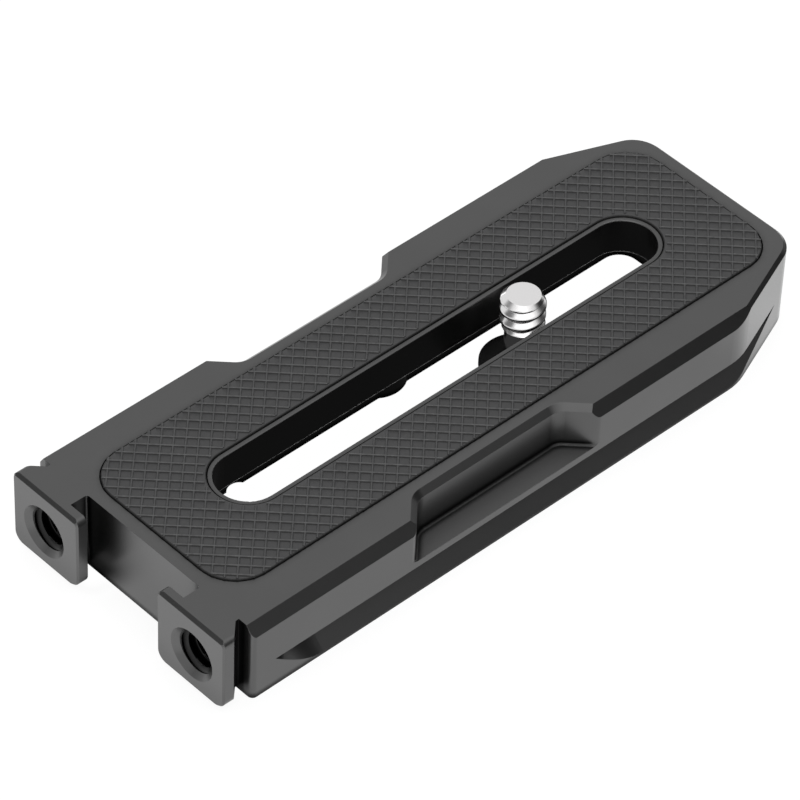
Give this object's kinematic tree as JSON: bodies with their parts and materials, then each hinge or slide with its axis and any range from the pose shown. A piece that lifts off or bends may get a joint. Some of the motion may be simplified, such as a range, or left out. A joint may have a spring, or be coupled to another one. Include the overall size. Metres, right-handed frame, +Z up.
{
  "type": "camera quick release plate",
  "caption": "Long dovetail camera mounting plate with a rubber grip pad, a slotted captive camera screw and T shaped front lugs.",
  "frame": {"origin": "middle of the bounding box at the underside the plate rests on", "axes": "+X along the plate from the lugs to the tapered end, +Y across it, +Z up out of the pad"},
  "size_m": [0.1092, 0.042, 0.0149],
  "materials": {
    "anodised_aluminium": "bead blasted, black anodised",
    "pad_rubber": "matt, moulded diamond grid",
    "washer_plastic": "satin",
    "screw_steel": "turned stainless"
  },
  "bodies": {
    "plate": {"mounting_plate": "anodised_aluminium", "rubber_pad": "pad_rubber"},
    "slider": {"screw_washer": "washer_plastic"},
    "screw": {"camera_screw": "screw_steel"}
  },
  "joints": [
    {"name": "screw_slide", "type": "slide", "parent": "plate", "child": "slider", "axis": [1, 0, 0], "range_m": [-0.0506, 0.02035]},
    {"name": "screw_turn", "type": "hinge", "parent": "slider", "child": "screw", "pos_m": [0.01723, 0, 0.002], "axis": [0, 0, 1], "continuous": true}
  ]
}
